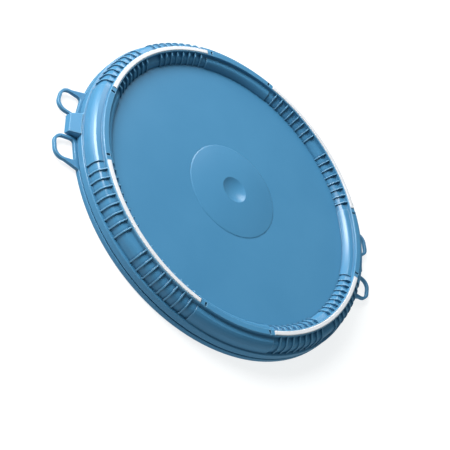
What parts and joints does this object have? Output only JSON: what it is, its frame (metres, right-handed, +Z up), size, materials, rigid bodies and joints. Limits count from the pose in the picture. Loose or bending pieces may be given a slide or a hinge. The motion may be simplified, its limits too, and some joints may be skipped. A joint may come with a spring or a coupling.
{
  "type": "open head drum lid",
  "caption": "Round plastic lid for an open head drum, with a ribbed raised crown, dished panel, white stacking strips and a turning locking ring with loops.",
  "frame": {"origin": "centre of the resting face, on the lid's axis, at the lowest face of the locking ring", "axes": "+Z up out of the lid's top, +X through the middle of one loop station, +Y to its left seen from above"},
  "size_m": [0.6606, 0.5844, 0.056],
  "materials": {
    "lid_blue": "moulded satin",
    "ring_blue": "moulded satin",
    "strip_white": "soft matt",
    "seal_rubber": "matt"
  },
  "bodies": {
    "lid": {"lid_shell": "lid_blue", "gasket": "seal_rubber", "stack_strip_1": "strip_white", "stack_strip_2": "strip_white", "stack_strip_3": "strip_white", "stack_strip_4": "strip_white"},
    "ring": {"lock_ring": "ring_blue"}
  },
  "joints": [
    {"name": "ring_turn", "type": "hinge", "parent": "lid", "child": "ring", "pos_m": [0, 0, 0], "axis": [0, 0, 1], "range_deg": [0, 15]}
  ]
}
